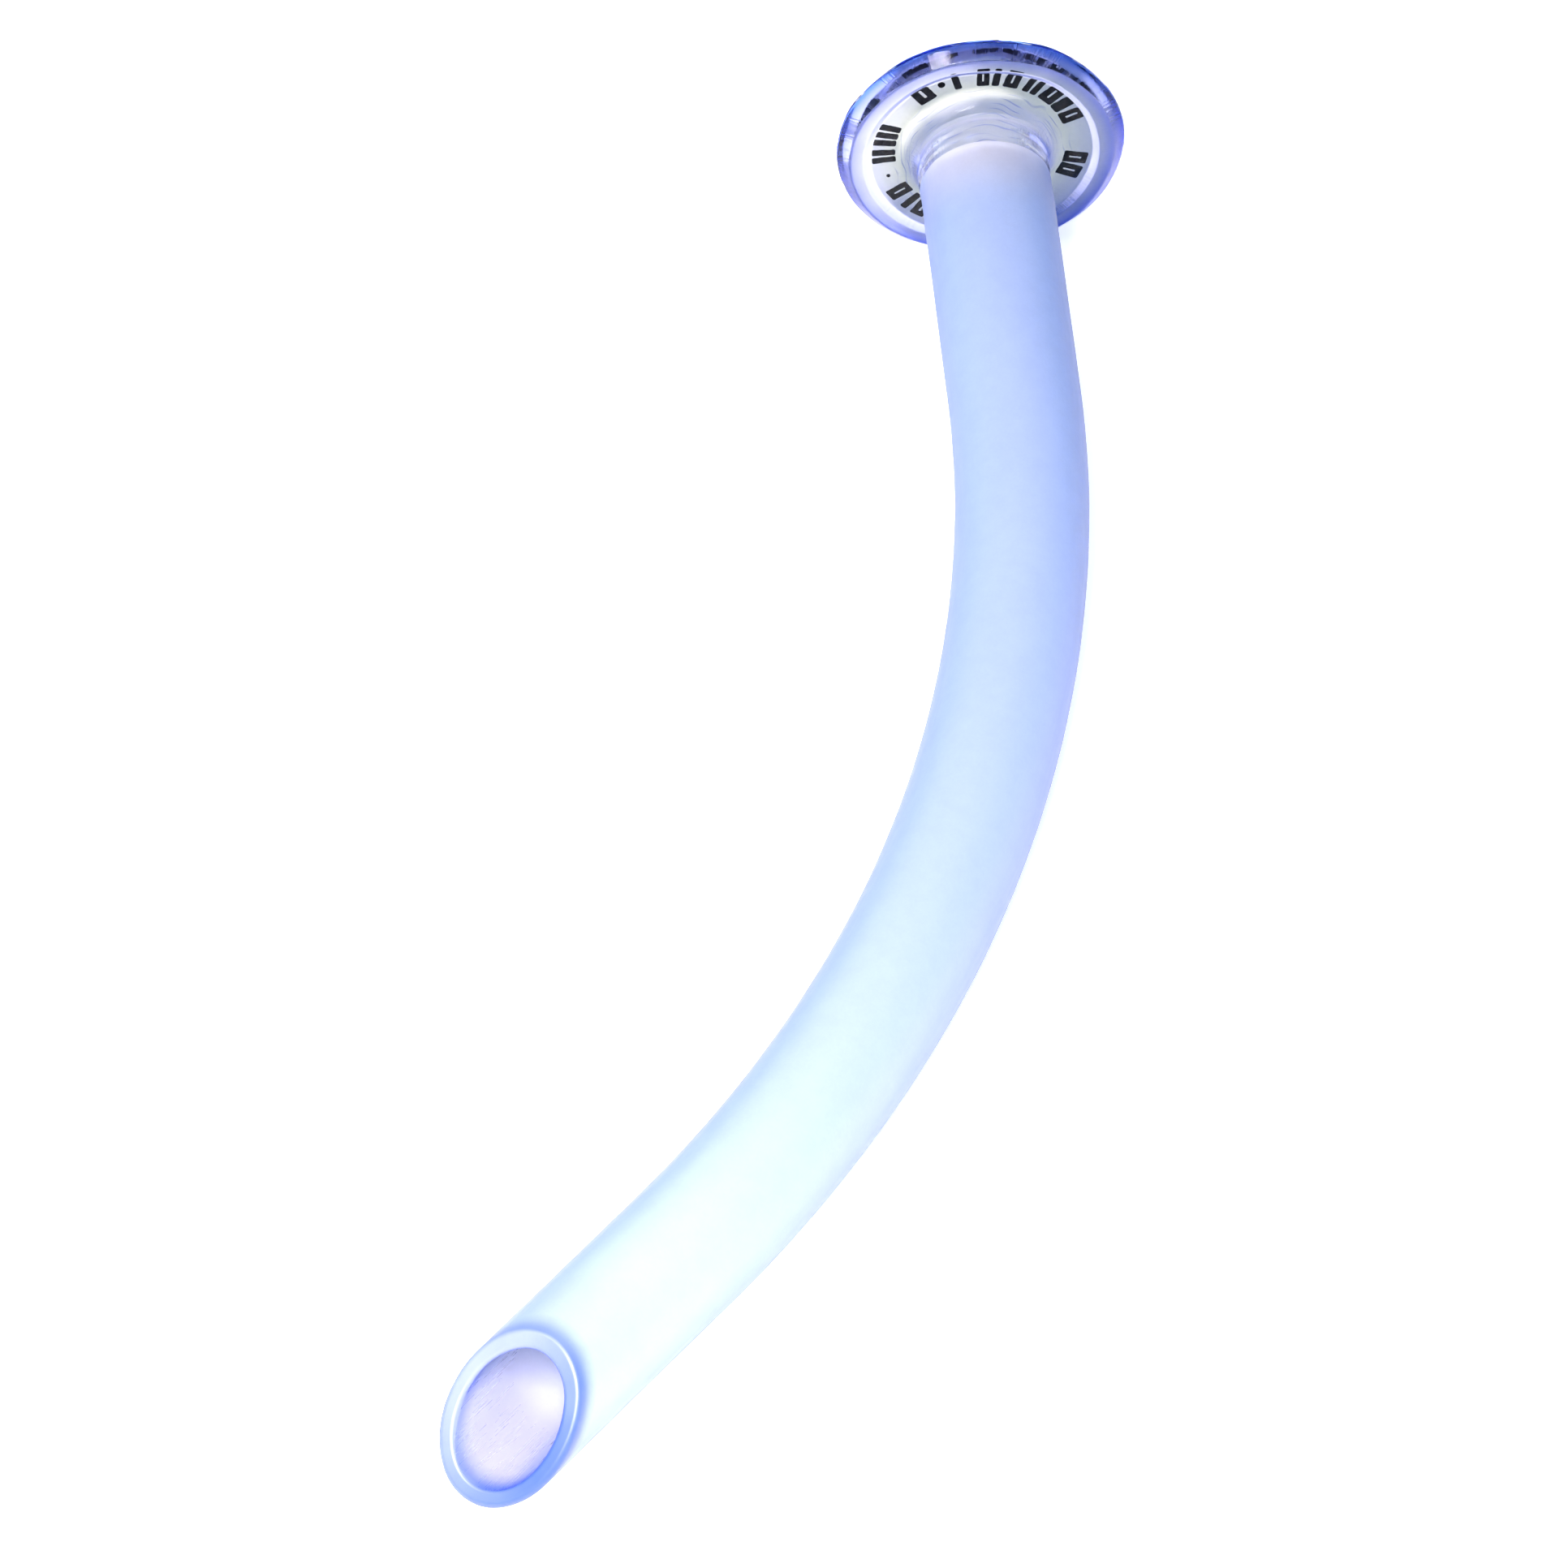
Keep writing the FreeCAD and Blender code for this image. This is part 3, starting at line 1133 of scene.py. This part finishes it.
@dataclass(frozen=True)
class SoftPvc:
    """Soft PVC, from polished to matt by the moulding's own attributes.

    The fields' own values are the frosted tube's. Scales are per millimetre, and the relief's
    distance is in metres.
    """

    name: str = "frosted_pvc"
    transmission: float = 0.5
    ior: float = 1.53
    specular_tint: Colour = WHITE
    matt_tint: Colour = (0.36, 0.45, 0.67, 1.0)
    matt_bore_tint: Colour = (0.8, 0.86, 1.0, 1.0)
    # On the tube this whitish tint is a painted glow: it fades into the matt blue over the frost ramp, so
    # the tube is paler just after the neck. It is also half the colour of the melted cut.
    polished_tint: Colour = (0.55, 0.55, 0.62, 1.0)
    # Painted shade: on the tube the bore is tinted dark near the cut, where the tip lamp lights it.
    polished_bore_tint: Colour = (0.25, 0.24, 0.36, 1.0)
    edge_tint: Colour = (0.035, 0.09, 0.6, 1.0)
    # Painted shade: the colour turns darker and bluer towards the silhouettes, by how far the surface faces
    # away.
    side_tint: Colour = (0.55, 0.68, 0.97, 1.0)
    side_range: tuple[float, float] = (0.35, 0.9)
    matt_roughness: float = 0.45
    matt_bore_roughness: float = 0.7
    polished_roughness: float = 0.42
    polished_bore_roughness: float = 0.2
    grain_scales: tuple[float, float] = (5.0, 0.8)
    grain_shade: tuple[float, float] = (0.96, 1.03)
    noise_band: tuple[float, float] = (0.3, 0.7)
    drawn_scale: float = 14.0
    drawn_stretch: float = 0.02
    drawn_octaves: float = 3.0
    drawn_seed: float = 2.2
    drawn_roughness: tuple[float, float] = (-0.02, 0.04)
    bore_lines: float = 1.1
    relief: float = 0.12
    relief_distance: float = 0.00005
    flow_lines: FlowLines | None = None

    def build(self) -> bpy.types.Material:
        """Makes the material.

        Returns:
            A transmissive material driven by the moulding's own attributes.
        """
        graph = Finish(self.name)

        def attribute(kind: Attribute, output: str = "Fac") -> Socket:
            """Reads one of the moulding's attributes."""
            return graph.node("ShaderNodeAttribute", attribute_name=kind.value).outputs[output]

        rolled = attribute(Attribute.ROLLED_OUT, "Vector")
        frost = attribute(Attribute.FROST)
        inside = attribute(Attribute.INSIDE)

        def spread(mix: Callable[..., Socket], polished: tuple[Any, Any], matt: tuple[Any, Any]) -> Socket:
            """Mixes the values of the outside and the bore, and then polished with matt."""
            return mix(frost, mix(inside, *polished), mix(inside, *matt))

        height, tone = Speckle.added(graph, rolled, self.grain_scales)
        spoke = graph.vector("NORMALIZE", graph.vector("MULTIPLY", rolled, ACROSS))
        along = graph.vector("MULTIPLY", rolled, (0.0, 0.0, self.drawn_stretch))
        place = graph.vector("ADD", spoke, along)
        drawn = graph.noise(place, self.drawn_scale, self.drawn_octaves, self.drawn_seed)

        # The polished tints carry painted light on the tube: a painted glow after the neck, and painted
        # shade in the bore near the cut.
        surface = spread(
            graph.mixed_colour,
            (self.polished_tint, self.polished_bore_tint),
            (self.matt_tint, self.matt_bore_tint),
        )
        # The edge value carries the tint of thick material and, round the cut, painted shade on one side of
        # the rim.
        tint = graph.mixed_colour(attribute(Attribute.EDGE), surface, self.edge_tint)
        shade = graph.ranged(tone, *self.noise_band, *self.grain_shade)
        # Painted shade: the tint is mixed towards a darker blue where the surface turns away from the view,
        # at the silhouettes.
        facing = graph.node("ShaderNodeLayerWeight", {"Blend": 0.5}).outputs["Facing"]
        thick = graph.mixed_colour(graph.ranged(facing, *self.side_range, 0.0, 1.0), WHITE, self.side_tint)
        colour = graph.vector("MULTIPLY", graph.scaled(tint, shade), thick)
        if self.flow_lines:
            colour = self.flow_lines.drawn(graph, rolled, inside, colour)

        rough = spread(
            graph.mixed,
            (self.polished_roughness, self.polished_bore_roughness),
            (self.matt_roughness, self.matt_bore_roughness),
        )
        worn = graph.plus(rough, graph.ranged(drawn, *self.noise_band, *self.drawn_roughness))
        lines = graph.times(drawn, graph.mixed(inside, 1.0, self.bore_lines))
        uneven = graph.plus(graph.times(height, frost), lines)
        return graph.shaded({
            "Base Color": colour,
            "Roughness": worn,
            "IOR": self.ior,
            "Specular Tint": self.specular_tint,
            "Transmission Weight": self.transmission,
            "Normal": graph.bumped(self.relief, self.relief_distance, uneven),
        })


CLEAR_PVC = SoftPvc(
    name="clear_pvc",
    transmission=1.0,
    specular_tint=(0.15, 0.15, 0.15, 1.0),
    polished_tint=(0.97, 0.97, 0.8, 1.0),
    polished_bore_tint=(0.95, 0.92, 0.98, 1.0),
    edge_tint=(0.02, 0.08, 1.0, 1.0),
    # Painted shade: deep blue at the silhouettes of the clear neck and rim.
    side_tint=(0.15, 0.22, 0.9, 1.0),
    polished_roughness=0.05,
    polished_bore_roughness=0.05,
    drawn_scale=30.0,
    relief=0.3,
    flow_lines=FlowLines(),
)
CLOUDY_PVC = replace(CLEAR_PVC, name="clear_neck", transmission=0.9)


@dataclass(frozen=True)
class PrintInk:
    """Black printing ink, matt and slightly uneven.

    Scales are per metre, and the relief's distance is in metres.
    """

    name: str = "print_ink"
    colour: Colour = (0.003, 0.003, 0.004, 1.0)
    thin_colour: Colour = (0.012, 0.012, 0.016, 1.0)
    thin_band: tuple[float, float] = (0.42, 0.62)
    grain_scales: tuple[float, float] = (9000.0, 1500.0)
    roughness: float = 0.5
    thin_roughness: float = 0.15
    specular: float = 0.1
    relief: float = 0.2
    relief_distance: float = 0.00001

    def build(self) -> bpy.types.Material:
        """Makes the material.

        Returns:
            An opaque material that reads Object coordinates.
        """
        graph = Finish(self.name)
        place = graph.node("ShaderNodeTexCoord").outputs["Object"]
        height, tone = Speckle.added(graph, place, self.grain_scales)
        thin = graph.ranged(tone, *self.thin_band, 0.0, 1.0)
        worn = graph.plus(self.roughness, graph.times(thin, self.thin_roughness))
        return graph.shaded({
            "Base Color": graph.mixed_colour(thin, self.colour, self.thin_colour),
            "Roughness": worn,
            "Specular IOR Level": self.specular,
            "Normal": graph.bumped(self.relief, self.relief_distance, height),
        })


@dataclass
class ProductCamera:
    """The camera at the photograph's viewing angle, in design millimetres."""

    position: Vector = field(default_factory=lambda: Vector((656.479, -113.75, 646.084)))
    right: Vector = field(default_factory=lambda: Vector((0.084471, 0.99414, 0.067452)))
    down: Vector = field(default_factory=lambda: Vector((0.73363, -0.016242, -0.679355)))
    ahead: Vector = field(default_factory=lambda: Vector((-0.674279, 0.106871, -0.730703)))
    focal_length: float = 299.812
    sensor_width: float = 36.0
    clip_range: tuple[float, float] = (0.01, 10.0)

    def build(self, axes: DesignAxes) -> bpy.types.Object:
        """Makes the camera and gives it to the scene.

        Args:
            axes: The design axes.

        Returns:
            The camera.
        """
        data = bpy.data.cameras.new("product_camera")
        data.sensor_width = self.sensor_width
        data.lens = self.focal_length
        data.clip_start, data.clip_end = self.clip_range
        camera = linked(data.name, data)
        turned = Matrix((self.right, -self.down, -self.ahead)).transposed().to_4x4()
        placed_in_mm = axes.matrix() @ Matrix.Translation(self.position) @ turned
        camera.matrix_world = placed_in_mm.normalized()
        bpy.context.scene.camera = camera
        return camera


@dataclass(frozen=True)
class SoftBox:
    """A square soft light that looks at a point from a direction in degrees. Lengths are in metres."""

    name: str
    azimuth: float
    elevation: float
    distance: float
    size: float
    power: float
    target: tuple[float, float, float] = (0.0, 0.0, 0.0)
    colour: tuple[float, float, float] = (1.0, 1.0, 1.0)

    def build(self) -> bpy.types.Object:
        """Makes the light.

        Returns:
            The light.
        """
        data = bpy.data.lights.new(self.name, "AREA")
        data.shape = "SQUARE"
        data.size = self.size
        data.energy = self.power
        data.color = self.colour
        light = linked(self.name, data)
        turn = math.radians(self.azimuth)
        rise = math.radians(self.elevation)
        flat = math.cos(rise)
        away = Vector((math.cos(turn) * flat, math.sin(turn) * flat, math.sin(rise)))
        light.visible_camera = False
        light.location = Vector(self.target) + away * self.distance
        light.rotation_mode = "QUATERNION"
        light.rotation_quaternion = (-away).to_track_quat("-Z", "Y")
        return light


@dataclass
class Studio:
    """The pale floor, the soft lights and the surroundings."""

    floor_side: float = 6.0
    floor_gap: float = 0.00002
    floor_colour: Colour = (0.9, 0.9, 0.9, 1.0)
    floor_roughness: float = 0.9
    floor_specular: float = 0.2
    floor_lift: float = 0.8
    ceiling: Colour = (0.05, 0.06, 0.08, 1.0)
    horizon: Colour = (0.4, 0.84, 1.8, 1.0)
    backdrop: Colour = WHITE
    horizon_band: tuple[float, float] = (0.15, 0.65)
    bounces: int = 24
    lights: tuple[SoftBox, ...] = (
        SoftBox("tip_light", 10.0, 60.0, 0.22, 0.1, 2.8, (0.08, 0.0, 0.0), (1.0, 0.93, 0.93)),
        SoftBox("left_light", -75.0, 45.0, 0.24, 0.12, 0.14, (0.07, 0.0, 0.0)),
        SoftBox("flange_light", 20.0, 70.0, 0.2, 0.1, 0.1, (-0.064, 0.0, 0.005), (1.0, 1.0, 0.94)),
    )

    def floor_material(self) -> bpy.types.Material:
        """Makes the floor's plain matt material.

        Returns:
            The material.
        """
        graph = Finish("floor_card")
        straight = graph.node("ShaderNodeLightPath").outputs["Is Camera Ray"]
        return graph.shaded({
            "Base Color": self.floor_colour,
            "Roughness": self.floor_roughness,
            "Specular IOR Level": self.floor_specular,
            "Emission Color": self.floor_colour,
            "Emission Strength": graph.times(straight, self.floor_lift),
        })

    def build(self) -> None:
        """Makes the floor, the lights and the surroundings, and sets how the picture is developed."""
        half = self.floor_side / 2
        mesh = bpy.data.meshes.new("floor")
        corners = [(-half, -half), (half, -half), (half, half), (-half, half)]
        mesh.from_pydata([(x, y, -self.floor_gap) for x, y in corners], [], [(0, 1, 2, 3)])
        mesh.materials.append(self.floor_material())
        floor = linked("floor", mesh)
        for light in self.lights:
            light.build()
        world = bpy.data.worlds.new("surroundings")
        world.use_nodes = True
        graph = Graph(world.node_tree)
        direction = graph.node("ShaderNodeTexCoord").outputs["Generated"]
        height_of_sky = graph.node("ShaderNodeSeparateXYZ", {0: direction}).outputs[2]
        share = graph.ranged(height_of_sky, *self.horizon_band, 0.0, 1.0)
        colour = graph.mixed_colour(share, self.horizon, self.ceiling)
        straight = graph.node("ShaderNodeLightPath").outputs["Is Camera Ray"]
        seen = graph.mixed_colour(straight, colour, self.backdrop)
        sky = graph.out("ShaderNodeBackground", {"Color": seen})
        graph.node("ShaderNodeOutputWorld", {"Surface": sky})
        scene = bpy.context.scene
        scene.world = world
        scene.view_settings.view_transform = "Standard"
        scene.view_settings.look = "None"
        scene.cycles.max_bounces = self.bounces
        scene.cycles.transmission_bounces = self.bounces
        scene.cycles.glossy_bounces = self.bounces


def main() -> None:
    """Builds the camera, the studio and the pieces."""
    logging.basicConfig(level=logging.INFO, format="%(name)s: %(message)s")
    mouth_depth = 12.225
    axes = DesignAxes.from_mounts(frame["record"]["mounts"], mouth_depth)
    ProductCamera().build(axes)
    Studio().build()
    moulding = Moulding()
    finishes = Finishes(SoftPvc().build(), CLOUDY_PVC.build(), CLEAR_PVC.build())
    pieces = [
        moulding.build(axes, finishes),
        PrintedRing().build(axes, moulding.back_run, PrintInk().build()),
    ]


if __name__ == "__main__":
    main()
